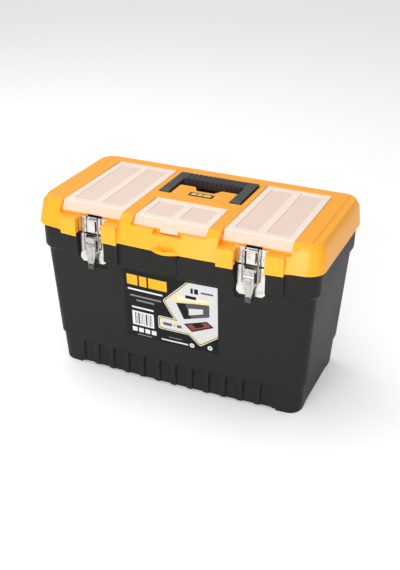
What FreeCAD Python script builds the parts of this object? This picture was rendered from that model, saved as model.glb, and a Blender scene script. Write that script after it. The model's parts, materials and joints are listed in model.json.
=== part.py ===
"""Toolbox with a lift-out tray: tapered tub, hinged organiser lid, two draw latches.

Frame: millimetres, +X along the box, +Y to the back, +Z up.
The origin is on the resting plane, below the middle of the tub.
"""
import FreeCAD
import Part
import math
import os
import re
import Sketcher
from FreeCAD import Vector

doc = FreeCAD.newDocument("toolbox")

# ---------------------------------------------------------------- driving sizes
SIZES = [
    ("lid_length", 486, "lid skirt, end to end at its lower edge"),
    ("lid_depth", 241, "lid skirt, front to back at its ends"),
    ("front_bow", 18, "how far the middle of the front stands out"),
    ("corner_radius", 29, "upright corners"),
    ("parting_height", 262, "top of the tub rim"),
    ("lid_height", 44, "lid deck above the tub rim"),
    ("lid_wall", 3, "lid wall and deck"),
    ("rim_width", 9, "flange inside the lid that rests on the tub rim"),
    ("tub_wall", 3, "tub wall and floor"),
    ("collar_inset", 5, "lid skirt stands out from the collar by this"),
    ("collar_height", 40, "upright part of the collar"),
    ("collar_slope", 6, "sloping ledge under the collar"),
    ("collar_step", 6, "collar stands out from the tub wall by this"),
    ("panel_proud", 4, "collar panels below the guard blocks stand out by this"),
    ("strip_proud", 1.2, "collar strip below the padlock eye stands out by this"),
    ("strip_half_width", 18, "collar strip below the padlock eye, half its width"),
    ("base_length", "=lid_length - 52", "tub at its foot"),
    ("base_depth", "=lid_depth - 44", "tub at its foot, at the ends"),
    ("base_bow", 9, "front bow at the foot"),
    ("plinth_height", 50, "height of the stepped plinth"),
    ("plinth_step", 3, "plinth is set back by this"),
    ("foot_drop", 4, "corner feet below the plinth"),
    ("foot_size", 38, "corner feet along X and Y"),
    ("base_pad", 30, "pad under the middle of the floor, half its width"),
    ("label_film", 0.4, "front label thickness"),
    ("flute_count", 12, "round-topped flutes across the front"),
    ("flute_pitch", 29.5, "flute spacing"),
    ("flute_width", 20, "flute width"),
    ("flute_depth", 2.5, "flute depth at the foot"),
    ("flute_top", 46, "top of a flute above the plinth foot"),
    ("handle_half_width", 70.5, "handle over its arms, half"),
    ("well_gap", 2.5, "gap round the handle"),
    ("side_lid_width", 110, "large organiser lid"),
    ("side_lid_centre", "=handle_half_width + well_gap + 11 + side_lid_width / 2", "middle of a large organiser lid"),
    ("latch_offset", "=side_lid_centre - 4", "latch centre from the middle"),
    ("latch_plane", 119.5, "face that both latch plates sit on, from the middle"),
    ("latch_notch", 50, "width of the notch around a latch"),
    ("shelf_height", "=parting_height + lid_height - 19", "top of the blocks that guard a latch"),
    ("sheet_gauge", 1.2, "latch sheet metal"),
    ("plate_width", 43, "catch plate and top of the base plate"),
    ("base_plate_low", "=parting_height - 51", "lower edge of the base plate"),
    ("base_plate_high", "=parting_height - 2", "upper edge of the base plate"),
    ("catch_low", "=parting_height + 4", "lower edge of the catch plate"),
    ("catch_high", "=shelf_height + 3", "upper edge of the catch plate"),
    ("tongue_width", 14, "catch tongue"),
    ("tongue_reach", 5.7, "front of the tongue from the plate's back"),
    ("tongue_top", "=shelf_height", "free end of the tongue"),
    ("lever_pivot_height", "=parting_height - 5", "lever pin"),
    ("lever_pivot_reach", 7, "lever pin from the latch plane"),
    ("lever_width", 16, "lever at its pivot"),
    ("lever_tip", "=parting_height - 55", "free end of the lever"),
    ("lever_pin_radius", 1.5, "lever pin"),
    ("bail_pivot_height", "=parting_height - 28", "bail ends in the lever"),
    ("bail_pivot_reach", 6, "bail ends from the latch plane"),
    ("bail_wire_radius", 1.25, "bail wire"),
    ("bail_half_width", 12.65, "middle of a bail leg from the latch centre"),
    ("running_gap", 0.06, "radial clearance of the pins"),
    ("block_proud", 2.5, "blocks that guard a latch stand out from the skirt by this"),
    ("block_drop", 4.5, "blocks hang below the parting line by this"),
    ("hinge_offset", 150, "hinge centre from the middle"),
    ("hinge_depth", 123, "hinge axis behind the middle"),
    ("hinge_height", "=parting_height - 8", "hinge axis"),
    ("hinge_pin_radius", 2, "hinge pin"),
    ("knuckle_radius", 5, "hinge knuckles"),
    ("knuckle_width", 25, "lid knuckle"),
    ("ear_width", 8, "each tub ear"),
    ("side_lid_rear", 89, "rear edge of a large organiser lid"),
    ("mid_lid_width", 124, "small organiser lid"),
    ("mid_lid_rear", -34, "rear edge of the small organiser lid"),
    ("organiser_sheet", 3, "organiser lid thickness"),
    ("organiser_gap", 0.5, "gap round an organiser lid"),
    ("barrel_radius", 2, "rounded hinge edge of an organiser lid"),
    ("stub_radius", 1.4, "stub pins of an organiser lid"),
    ("bin_floor", "=parting_height + 4", "underside of the lid bins"),
    ("bin_wall", 2.5, "bin walls"),
    ("handle_rear", 81, "rear of the grip"),
    ("handle_arm", 16, "width of a handle arm"),
    ("grip_depth", 24, "grip, front to back"),
    ("handle_thickness", 16, "handle, top to bottom"),
    ("handle_proud", 3, "handle stands above the deck by this"),
    ("handle_stub_radius", 3, "handle stub pins"),
    ("tray_wall", 2.2, "tray walls"),
    ("tray_height", 34, "tray above its step"),
    ("tray_sink", 27, "tray below its step"),
    ("tray_gap", 2.5, "gap between the tray and the collar"),
    ("eye_radius", 3.2, "padlock hole"),
    ("eye_depth", 141, "padlock hole in front of the middle"),
    ("eye_half_width", 22, "padlock bulge where it leaves the skirt, half its width"),
    ("eye_proud", 8, "padlock bulge stands out from the skirt by this"),
    ("eye_height", 6, "each half of the padlock eye"),
]
sheet = doc.addObject("Spreadsheet::Sheet", "Sizes")
for row, (alias, value, note) in enumerate(SIZES, 1):
    sheet.set("A%d" % row, alias)
    sheet.set("B%d" % row, str(value))
    sheet.set("C%d" % row, note)
    sheet.setAlias("B%d" % row, alias)
doc.recompute()
S = {alias: float(sheet.get(alias)) for alias, value, note in SIZES}

nodes = []


def keep(obj, label):
    """Name a finished sub-part and list it for export."""
    obj.Label = label
    nodes.append(obj)
    return obj


def bind(text):
    """Turn size names in an expression into references to the sheet."""
    return re.sub(r"[a-z_]+", lambda m: "Sizes." + m.group() if m.group() in S else m.group(), str(text))


def value_of(text):
    """The present value of an expression in size names."""
    return float(sheet.evalExpression(bind(text)))


# ---------------------------------------------------------------- bound features
def box(name, x, y, z):
    """A box between pairs of expressions."""
    solid = doc.addObject("Part::Box", name)
    for prop, axis, (low, high) in zip(("Length", "Width", "Height"), "xyz", (x, y, z)):
        solid.setExpression(prop, bind("(%s) - (%s)" % (high, low)))
        solid.setExpression("Placement.Base." + axis, bind(low))
    return solid


def rod(name, radius, low, high, y, z):
    """A cylinder along X between two expressions."""
    solid = doc.addObject("Part::Cylinder", name)
    solid.Placement.Rotation = FreeCAD.Rotation(Vector(0, 1, 0), 90)
    solid.setExpression("Radius", bind(radius))
    solid.setExpression("Height", bind("(%s) - (%s)" % (high, low)))
    solid.setExpression("Placement.Base.x", bind(low))
    solid.setExpression("Placement.Base.y", bind(y))
    solid.setExpression("Placement.Base.z", bind(z))
    return solid


def stud(name, radius, x, low, high, z):
    """A cylinder along Y between two expressions."""
    solid = doc.addObject("Part::Cylinder", name)
    solid.Placement.Rotation = FreeCAD.Rotation(Vector(1, 0, 0), -90)
    solid.setExpression("Radius", bind(radius))
    solid.setExpression("Height", bind("(%s) - (%s)" % (high, low)))
    solid.setExpression("Placement.Base.x", bind(x))
    solid.setExpression("Placement.Base.y", bind(low))
    solid.setExpression("Placement.Base.z", bind(z))
    return solid


def fuse(name, *shapes):
    result = doc.addObject("Part::MultiFuse", name)
    result.Shapes = list(shapes)
    result.Refine = True
    return result


def cut(name, base, *tools):
    result = base
    for index, tool in enumerate(tools):
        step = doc.addObject("Part::Cut", "%s_%d" % (name, index))
        step.Base = result
        step.Tool = tool
        step.Refine = True
        result = step
    return result


PLANES = {"YZ": ("YZ_Plane", 1), "XZ": ("XZ_Plane", -1), "XY": ("XY_Plane", 1)}


def prism(name, plane, points, low, high):
    """A PartDesign body: a closed outline of bound points, padded from low to high.

    YZ outlines are padded along +X, XZ outlines along +Y and XY outlines along +Z.
    """
    body = doc.addObject("PartDesign::Body", name)
    role, sense = PLANES[plane]
    origin_plane = [f for f in body.Origin.OriginFeatures if f.Role == role][0]
    sketch = body.newObject("Sketcher::SketchObject", name + "_outline")
    sketch.AttachmentSupport = (origin_plane, [""])
    sketch.MapMode = "FlatFace"
    start = low if sense > 0 else "-(%s)" % high
    sketch.setExpression("AttachmentOffset.Base.z", bind(start))
    places = [Vector(*(value_of(term) for term in point), 0) for point in points]
    count = len(points)
    for index in range(count):
        sketch.addGeometry(Part.LineSegment(places[index], places[(index + 1) % count]), False)
    for index in range(count):
        joint = (index, 2, (index + 1) % count, 1)
        sketch.addConstraint(Sketcher.Constraint("Coincident", *joint))
    for index, (across, up) in enumerate(points):
        for kind, term in (("DistanceX", across), ("DistanceY", up)):
            rule = Sketcher.Constraint(kind, -1, 1, index, 1, value_of(term))
            number = sketch.addConstraint(rule)
            sketch.setExpression("Constraints[%d]" % number, bind(term))
    pad = body.newObject("PartDesign::Pad", name + "_pad")
    pad.Profile = sketch
    pad.setExpression("Length", bind("(%s) - (%s)" % (high, low)))
    sketch.Visibility = False
    return body


# ---------------------------------------------------------------- lofted shells
def outline(length, rear, front, bow, radius, z):
    """A closed wire: straight rear and ends, a front bowed by an arc, four round corners."""
    half = length / 2
    arc_radius = (half ** 2 + bow ** 2) / (2 * bow)
    arc_y = front - bow + arc_radius
    corner_x = half - radius
    corner_y = arc_y - math.sqrt((arc_radius - radius) ** 2 - corner_x ** 2)
    scale = arc_radius / (arc_radius - radius)
    touch = (corner_x * scale, arc_y + (corner_y - arc_y) * scale)
    lean = math.atan2(touch[1] - corner_y, touch[0] - corner_x) / 2
    middle = (corner_x + radius * math.cos(lean), corner_y + radius * math.sin(lean))
    back = radius * math.sqrt(0.5)

    def at(x, y):
        return Vector(x, y, z)

    def mirrored(point):
        return at(-point[0], point[1])

    edges = [
        Part.Arc(mirrored(touch), at(0, front - bow), at(*touch)),
        Part.Arc(at(*touch), at(*middle), at(half, corner_y)),
        Part.LineSegment(at(half, corner_y), at(half, rear - radius)),
        Part.Arc(at(half, rear - radius), at(corner_x + back, rear - radius + back), at(corner_x, rear)),
        Part.LineSegment(at(corner_x, rear), at(-corner_x, rear)),
        Part.Arc(at(-corner_x, rear), at(-corner_x - back, rear - radius + back), at(-half, rear - radius)),
        Part.LineSegment(at(-half, rear - radius), at(-half, corner_y)),
        Part.Arc(at(-half, corner_y), mirrored(middle), mirrored(touch)),
    ]
    return Part.Wire([edge.toShape() for edge in edges])


def loft(*sections):
    """A solid through outlines, each (length, rear, front, bow, radius, z)."""
    solid = Part.makeLoft([outline(*section) for section in sections], True, True)
    if solid.Volume < 0:
        solid.reverse()
    return solid


def grown(section, by, z=None):
    """A section moved out (or in, when negative) by a wall thickness."""
    length, rear, front, bow, radius, height = section
    return (length + 2 * by, rear + by, front - by, bow, radius + by, height if z is None else z)


def block(x, y, z):
    """A plain box from three (low, high) pairs, for cutting or joining to a shell."""
    low = Vector(x[0], y[0], z[0])
    return Part.makeBox(x[1] - x[0], y[1] - y[0], z[1] - z[0], low)


def both_sides(x, y, z):
    """The same box at +X and at -X."""
    return [block(x, y, z), block((-x[1], -x[0]), y, z)]


def sheared(points, low, high):
    """A prism along X from an outline of (y, z) points."""
    corners = [Vector(low, y, z) for y, z in points]
    face = Part.Face(Part.makePolygon(corners + corners[:1]))
    return face.extrude(Vector(high - low, 0, 0))


def pipe_x(radius, low, high, y, z):
    return Part.makeCylinder(radius, high - low, Vector(low, y, z), Vector(1, 0, 0))


def pipe_y(radius, x, low, high, z):
    return Part.makeCylinder(radius, high - low, Vector(x, low, z), Vector(0, 1, 0))


def pipe_z(radius, x, y, low, high):
    return Part.makeCylinder(radius, high - low, Vector(x, y, low), Vector(0, 0, 1))


def shell(name, solid):
    """A finished moulding as a document object."""
    feature = doc.addObject("Part::Feature", name)
    feature.Shape = solid.removeSplitter()
    return keep(feature, name)


# ---------------------------------------------------------------- shared places
part_z = S["parting_height"]
deck_z = part_z + S["lid_height"]
wall = S["tub_wall"]
latch_y = -S["latch_plane"]
notch = S["latch_notch"] / 2
foot_z = S["foot_drop"]
plinth_z = foot_z + S["plinth_height"]
ledge_top = part_z - S["collar_height"]
ledge_low = ledge_top - S["collar_slope"]
sides = (-1, 1)
rivet_radius = 2.0
rivet_spread = 15.5
rivet_heights = {"catch": "catch_low + 7", "base": "base_plate_low + 9"}

collar_top = (S["lid_length"] - 2 * S["collar_inset"], S["lid_depth"] / 2 - S["collar_inset"],
              -(S["lid_depth"] / 2 - S["collar_inset"]), S["front_bow"] - 0.5, S["corner_radius"] - 3, part_z)
collar_low = grown(collar_top, -0.8, ledge_top)
body_top = grown(collar_top, -S["collar_step"], ledge_low)
base = (S["base_length"], S["base_depth"] / 2, -S["base_depth"] / 2, S["base_bow"], 22, foot_z)


def between(low, high, z):
    """The section at height z on the straight taper from low to high."""
    share = (z - low[5]) / (high[5] - low[5])
    return tuple(a + share * (b - a) for a, b in zip(low, high))


body_foot = between(grown(base, S["plinth_step"]), body_top, plinth_z)
plinth_top = grown(body_foot, -S["plinth_step"])
cavity_ledge = grown(body_top, -wall)


# ---------------------------------------------------------------- tub
def make_tub():
    """The tub: stepped fluted plinth, tapered walls, collar, latch notches, hinge ears, padlock eye."""
    tub = loft(base, plinth_top)
    tub = tub.fuse(loft(body_foot, body_top))
    tub = tub.fuse(loft(body_top, collar_low))
    tub = tub.fuse(loft(collar_low, collar_top))
    flute_back = S["flute_depth"] + 2.5
    low_front = (base[0] - 2 * wall, base[1] - wall, base[2] + flute_back, base[3], base[4] - wall, foot_z + wall)
    high_front = (plinth_top[0] - 2 * wall, plinth_top[1] - wall, base[2] + flute_back, base[3],
                  plinth_top[4] - wall, plinth_z + wall + 0.1)
    cavity = loft(low_front, high_front)
    cavity = cavity.fuse(loft(grown(body_foot, -wall, plinth_z + wall), cavity_ledge,
                              grown(cavity_ledge, 0, ledge_top + 1)))
    cavity = cavity.fuse(loft(grown(collar_low, -wall), grown(collar_top, -wall, part_z + 1)))
    tub = tub.cut(cavity).fuse(collar_panels())
    for side in sides:
        centre = side * S["latch_offset"]
        outer = notch + wall
        tub = tub.fuse(block((centre - outer, centre + outer), (latch_y - 4, latch_y + wall), (ledge_low, part_z)))
        pad_low = S["base_plate_low"] - 6
        tub = tub.fuse(block((centre - outer, centre + outer), (latch_y, latch_y + 6), (pad_low, ledge_low)))
        tub = tub.cut(block((centre - notch, centre + notch), (-200, latch_y), (pad_low, part_z + 1)))
        tub = tub.fuse(hinge_ears(side))
    tub = tub.cut(flutes())
    feet = loft(grown(base, -0.5, 0), grown(base, 0, foot_z))
    reach_x = base[0] / 2 - S["foot_size"]
    reach_y = base[1] - S["foot_size"]
    for y in ((reach_y, 200), (-200, -reach_y)):
        for corner in both_sides((reach_x, 400), y, (-1, foot_z + 1)):
            tub = tub.fuse(feet.common(corner))
    pad = S["base_pad"]
    tub = tub.fuse(block((-pad, pad), (-pad, pad), (0, foot_z + 1)))
    tub = tub.fuse(eye_bulge(part_z - S["eye_height"], part_z - 0.4))
    tub = tub.cut(pipe_z(S["eye_radius"], 0, -S["eye_depth"], part_z - S["eye_height"] - 1, part_z + 1))
    for side in sides:
        for spread in (-rivet_spread, rivet_spread):
            place = side * S["latch_offset"] + spread
            height = value_of(rivet_heights["base"])
            tub = tub.cut(pipe_y(rivet_radius, place, latch_y - 1, latch_y + 20, height))
            tub = tub.cut(pipe_y(3.4, place, latch_y + wall, latch_y + 20, height))
    return tub


def collar_panels():
    """Raised panels on the collar: one below each guard block, and a strip below the padlock eye."""
    panels = []
    top = part_z - S["block_drop"] - 0.4
    proud = S["panel_proud"]
    front = loft(grown(collar_low, proud), grown(collar_top, proud))
    for span in block_spans():
        for piece in both_sides(span, (-200, latch_y + wall), (ledge_top, top)):
            panels.append(piece.common(front))
    half = S["strip_half_width"]
    front = loft(grown(collar_low, S["strip_proud"]), grown(collar_top, S["strip_proud"]))
    panels.append(block((-half, half), (-200, latch_y), (ledge_top, part_z - 1)).common(front))
    return panels


def eye_bulge(low, high):
    """One half of the padlock eye: a wide, shallow round bulge on the middle of the front."""
    half = S["eye_half_width"]
    proud = S["eye_proud"]
    radius = (half ** 2 + proud ** 2) / (2 * proud)
    front = skirt_low[2] - S["front_bow"] - proud
    bulge = pipe_z(radius, 0, front + radius, low, high)
    return bulge.common(block((-half, half), (front - 1, -S["eye_depth"] + 10), (low, high)))


def hinge_ears(side):
    """Two ears on the rear of the collar that hold one hinge pin."""
    centre = side * S["hinge_offset"]
    inner = S["knuckle_width"] / 2 + 0.3
    y, z = S["hinge_depth"], S["hinge_height"]
    rear = collar_low[1] - 1
    ears = []
    for low in (centre - inner - S["ear_width"], centre + inner):
        high = low + S["ear_width"]
        ear = pipe_x(S["knuckle_radius"], low, high, y, z)
        ear = ear.fuse(sheared([(rear, z - 14), (rear, z + 4), (y, z + 4), (y + 3, z - 3)], low, high))
        ears.append(ear.cut(pipe_x(S["hinge_pin_radius"], low - 1, high + 1, y, z)))
    return ears


def flutes():
    """Round-topped cutters across the plinth front; each has a flat upright back, so it is deepest at the top."""
    half = S["flute_width"] / 2
    top = foot_z + S["flute_top"] - half
    cutters = []
    for index in range(int(S["flute_count"])):
        x = (index - (S["flute_count"] - 1) / 2) * S["flute_pitch"]
        front = base[2] - base[3] * (1 - (2 * x / base[0]) ** 2)
        back = front + S["flute_depth"]
        arch = block((x - half, x + half), (-300, back), (foot_z, top))
        cutters.append(arch.fuse(pipe_y(half, x, -300, back, top)))
    return cutters


# ---------------------------------------------------------------- lid
skirt_low = (S["lid_length"], S["lid_depth"] / 2, -S["lid_depth"] / 2, S["front_bow"], S["corner_radius"], part_z)
skirt_mid = (S["lid_length"] - 7, skirt_low[1] - 3.5, skirt_low[2] + 8.5, S["front_bow"] - 1.5,
             S["corner_radius"] - 2, deck_z - 10)
deck_edge = (S["lid_length"] - 19, skirt_low[1] - 9.5, skirt_low[2] + 16.5, S["front_bow"] - 5,
             S["corner_radius"] - 5, deck_z)
side_half = S["side_lid_width"] / 2
side_in = S["side_lid_centre"] - side_half
side_out = S["side_lid_centre"] + side_half
mid_half = S["mid_lid_width"] / 2
seat_z = deck_z - 0.5 - S["organiser_sheet"] - 0.3
gap = S["organiser_gap"]
lip_y = latch_y + 15.5
lip_drop = 11.0
bin_front = latch_y + 17.5
well_half = S["handle_half_width"] + S["well_gap"]
well_front = -9.0
well_rear = S["handle_rear"] + S["well_gap"]
well_floor = deck_z + S["handle_proud"] - S["handle_thickness"] - 3
well_deep = S["bin_floor"] + 5
tongue_half = S["handle_half_width"] - S["handle_arm"] - 3
tongue_rear = S["handle_rear"] - S["grip_depth"] - 25
lid_wall = S["lid_wall"]
mid_lip_y = skirt_low[2] - S["front_bow"] + 27.0
mid_run = 8.2
mid_shelf = seat_z - 9.3
pocket_half = 24.0
pocket_floor = seat_z - 16
stub_z = deck_z - 0.5 - S["barrel_radius"]
handle_z = deck_z + S["handle_proud"] - S["handle_thickness"] / 2


def make_lid():
    """The lid: bowed skirt, deck, three bins, handle well with its tongue, latch recesses, knuckles."""
    lid = loft(skirt_low, skirt_mid, deck_edge)
    lid = lid.fuse(latch_blocks())
    inner_low = grown(skirt_low, -lid_wall, part_z - 1)
    inner_mid = grown(skirt_mid, -lid_wall)
    inner_top = grown(deck_edge, -lid_wall, deck_z - lid_wall)
    lid = lid.cut(loft(inner_low, inner_mid, inner_top))
    hollows = []
    inner = loft(grown(skirt_low, S["block_proud"] - lid_wall, part_z - 30),
                 grown(skirt_low, S["block_proud"] - lid_wall, deck_z))
    for low, high in block_spans():
        span = (low + lid_wall, high - lid_wall)
        hollows += both_sides(span, (-200, latch_y), (part_z + 0.3, S["shelf_height"] - lid_wall))
    hollows += both_sides((side_in - 1, side_out + 1), (-200, -60), (part_z - S["block_drop"] - 1, part_z + 0.3))
    lid = lid.cut([hollow.common(inner) for hollow in hollows])
    core = latch_walls() + bins() + wells()
    core.append(block((-16, 16), (-S["eye_depth"] + 6.0, -S["eye_depth"] + 12), (part_z, part_z + 24)))
    inside = loft(skirt_low, skirt_mid, deck_edge)
    lid = lid.fuse([piece.common(inside) for piece in core])
    ring = loft(grown(skirt_low, -1, part_z + 0.3), grown(skirt_low, -1, part_z + 3.3))
    ring = ring.cut(loft(grown(skirt_low, -S["rim_width"], part_z), grown(skirt_low, -S["rim_width"], part_z + 4)))
    lid = lid.fuse(ring.common(inside))
    lid = lid.cut(openings())
    for side in sides:
        lid = lid.fuse(lid_knuckle(side))
    lid = lid.fuse(eye_bulge(part_z, part_z + S["eye_height"]))
    lid = lid.cut(pipe_z(S["eye_radius"], 0, -S["eye_depth"], part_z - 1, part_z + 24))
    return lid


def block_spans():
    """X ranges of the guard blocks on the +X side: beside the middle, and outboard."""
    centre = S["latch_offset"]
    return ((side_in, centre - notch + 1), (centre + notch - 1, side_out - 6))


def latch_blocks():
    low = part_z - S["block_drop"]
    pieces = []
    front = loft(grown(skirt_low, S["block_proud"], low), grown(skirt_low, S["block_proud"], S["shelf_height"]))
    for span in block_spans():
        pieces += both_sides(span, (-200, latch_y + lid_wall), (low, S["shelf_height"]))
    return [piece.common(front) for piece in pieces]


def latch_walls():
    """The wall behind each catch plate and the cheeks beside it."""
    centre = S["latch_offset"]
    outer = notch + lid_wall
    top = deck_z - 4
    return both_sides((centre - outer, centre + outer), (latch_y, latch_y + lid_wall), (part_z + 0.3, top))


def bins():
    """Outside of the three bins, and the shelves and cheeks in front of them, still solid."""
    side_x = (side_in - 3, side_out + 3)
    mid_x = (-mid_half - 3, mid_half + 3)
    top = deck_z - 1
    pieces = both_sides(side_x, (latch_y, S["side_lid_rear"] + 3.5), (S["bin_floor"], top))
    pieces += both_sides(side_x, (-200, latch_y + 1), (S["shelf_height"] - lid_wall, top))
    pieces.append(block(mid_x, (mid_lip_y - mid_run, S["mid_lid_rear"] + 3.5), (S["bin_floor"], top)))
    pieces.append(block(mid_x, (-200, mid_lip_y - mid_run + 1), (mid_shelf - lid_wall, top)))
    pieces.append(block((-pocket_half - 3, pocket_half + 3), (-200, mid_lip_y - mid_run + 1),
                        (pocket_floor - lid_wall, top)))
    return pieces


def wells():
    """Outside of the handle well, and bosses for the handle's stub pins, still solid."""
    outer = well_half + lid_wall
    return [
        block((-outer, outer), (well_front - lid_wall, well_rear + lid_wall), (well_floor - lid_wall, deck_z - 1)),
        block((-tongue_half - 3, tongue_half + 3), (tongue_rear - 18, well_rear + lid_wall),
              (well_deep - lid_wall, deck_z - 1)),
        block((-outer - 4, outer + 4), (-7, 7), (deck_z - 17, deck_z - 1)),
    ]


def seat(x, rear, front):
    """Room for one organiser lid: its plate and the groove for its rounded hinge edge."""
    floor = seat_z
    barrel_low = stub_z - S["barrel_radius"] - 0.5
    return [
        block(x, (front, rear + gap), (floor, deck_z + 1)),
        block(x, (rear - 2 * S["barrel_radius"] - 1, rear + gap), (barrel_low, deck_z + 1)),
    ]


def openings():
    """Everything cut out of the deck: seats, bins, the handle well, stub pin holes, front reliefs."""
    tools = []
    ledge = 4.0
    thin = S["bin_wall"]
    for sign in sides:
        low, high = (side_in, side_out) if sign > 0 else (-side_out, -side_in)
        tools += seat((low - gap, high + gap), S["side_lid_rear"], lip_y)
        bin_y = (bin_front, S["side_lid_rear"] - 7)
        tools.append(block((low + ledge, high - ledge), bin_y, (S["bin_floor"] + thin, deck_z + 1)))
        relief = [(lip_y + 1, deck_z + 5), (lip_y + 1, seat_z), (lip_y + 0.5, seat_z),
                  (latch_y + 8, seat_z - lip_drop), (latch_y + 8, S["shelf_height"]),
                  (-200, S["shelf_height"]), (-200, deck_z + 5)]
        tools.append(sheared(relief, low - gap, high + gap))
        centre = sign * S["latch_offset"]
        tools.append(block((centre - notch + 1, centre + notch - 1), (-200, latch_y),
                           (part_z - 10, S["shelf_height"] + 1)))
        tools.append(stub_bores(low, high, S["side_lid_rear"]))
        for spread in (-rivet_spread, rivet_spread):
            height = value_of(rivet_heights["catch"])
            clench = latch_y + lid_wall
            tools.append(pipe_y(rivet_radius, centre + spread, latch_y - 1, clench + 1, height))
            tools.append(pipe_y(3.4, centre + spread, clench, clench + 1.7, height))
    tools += seat((-mid_half - gap, mid_half + gap), S["mid_lid_rear"], mid_lip_y)
    tools.append(block((-mid_half + ledge, mid_half - ledge), (mid_lip_y + 2, S["mid_lid_rear"] - 7),
                       (S["bin_floor"] + thin, deck_z + 1)))
    tools.append(sheared([(mid_lip_y + 1, deck_z + 5), (mid_lip_y + 1, seat_z), (mid_lip_y + 0.4, seat_z),
                          (mid_lip_y - mid_run, mid_shelf), (-200, mid_shelf), (-200, deck_z + 5)],
                         -mid_half - gap, mid_half + gap))
    tools.append(block((-pocket_half, pocket_half), (-200, mid_lip_y - mid_run + 0.7), (pocket_floor, deck_z)))
    tools.append(block((-13, 13), (-200, -S["eye_depth"] + 7), (part_z + 6, pocket_floor + 4)))
    tools.append(stub_bores(-mid_half, mid_half, S["mid_lid_rear"]))
    tools += handle_well()
    return tools


def stub_bores(low, high, rear):
    """One drill through both side walls of a seat."""
    reach = 3.6
    return pipe_x(S["stub_radius"] + S["running_gap"], low - reach, high + reach, rear - S["barrel_radius"], stub_z)


def handle_well():
    """Room for the handle round the tongue, deeper behind it for the fingers."""
    top = (well_floor, deck_z + 5)
    room = block((-well_half, well_half), (well_front, well_rear), top)
    tongue = block((-tongue_half, tongue_half), (well_front - 1, tongue_rear), top)
    scoop = Part.makePolygon([Vector(x, y, well_floor - 1) for x, y in (
        (-24, tongue_rear + 1), (-15, tongue_rear - 15), (15, tongue_rear - 15), (24, tongue_rear + 1),
        (-24, tongue_rear + 1))])
    scoop = Part.Face(scoop).extrude(Vector(0, 0, 40))
    room = room.cut(tongue.cut(scoop))
    deep = block((-tongue_half, tongue_half), (tongue_rear, well_rear), (well_deep, deck_z + 5))
    under = block((-tongue_half + 3, tongue_half - 3), (well_front, tongue_rear - 18 - lid_wall),
                  (well_floor - lid_wall - 1, deck_z - lid_wall))
    bore = pipe_x(S["handle_stub_radius"] + S["running_gap"], -well_half - 4.5, well_half + 4.5, 0, handle_z)
    return [room, deep, under, bore]


def lid_knuckle(side):
    """The lid's knuckle between two tub ears."""
    centre = side * S["hinge_offset"]
    low = centre - S["knuckle_width"] / 2
    high = centre + S["knuckle_width"] / 2
    y, z = S["hinge_depth"], S["hinge_height"]
    rear = skirt_low[1]
    knuckle = pipe_x(S["knuckle_radius"] - 0.2, low, high, y, z)
    web = [(rear - 2.3, part_z + 6), (rear - 2.3, z), (y + 4, z), (y + 3, part_z), (rear - 1, part_z + 9)]
    knuckle = knuckle.fuse(sheared(web, low, high))
    return knuckle.cut(pipe_x(S["hinge_pin_radius"] + S["running_gap"], low - 1, high + 1, y, z))


# ---------------------------------------------------------------- tray
def make_tray():
    """The lift-out tray: stepped walls that sit on the tub's ledge, dividers and a bridge handle."""
    thin = S["tray_wall"]
    step_z = ledge_top + 0.3
    clearance = -(wall + S["tray_gap"])
    rim = grown(collar_low, clearance, step_z)
    front_room = latch_y + wall + 1.2
    bow = 8.0
    centre_share = 1 - (2 * S["latch_offset"] / rim[0]) ** 2
    front = max(rim[2], front_room + bow * centre_share)
    rim = (rim[0], rim[1], front, bow, rim[4], step_z)
    low = grown(cavity_ledge, -3.0, step_z)
    low = (low[0] - 2, low[1], front + 6.5, bow, low[4], step_z)
    floor_z = step_z - S["tray_sink"]
    low_floor = grown(low, -1.5, floor_z)
    tray = loft(rim, grown(rim, 0, step_z + S["tray_height"]))
    tray = tray.fuse(loft(low_floor, low))
    room = loft(grown(rim, -thin, step_z + thin), grown(rim, -thin, step_z + S["tray_height"] + 1))
    room = room.fuse(loft(grown(low_floor, -thin, floor_z + thin), grown(low, -thin, step_z + thin + 0.1)))
    tray = tray.cut(room)
    inside = loft(grown(low_floor, -1, floor_z + 1), grown(low, -1, step_z))
    inside = inside.fuse(loft(grown(low, -1, step_z - 0.1), grown(low, -1, step_z + S["tray_height"])))
    spine = block((-300, 300), (-thin / 2, thin / 2), (floor_z, step_z + 12))
    grip_z = step_z + S["tray_height"] - 2
    bridge = block((-66, 66), (-7, 7), (grip_z - 9, grip_z))
    legs = both_sides((56, 66), (-5, 5), (floor_z, grip_z))
    window = block((-56, 56), (-20, 20), (step_z - 8, grip_z - 9))
    cross = both_sides((96, 96 + thin), (-200, 200), (floor_z, step_z + 6))
    ribs = [piece.common(inside) for piece in [spine] + cross + legs]
    tray = tray.fuse(ribs).cut(window)
    return tray.fuse(bridge)


tub = shell("tub_shell", make_tub())
lid = shell("lid_shell", make_lid())
tray = shell("tray", make_tray())


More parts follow.
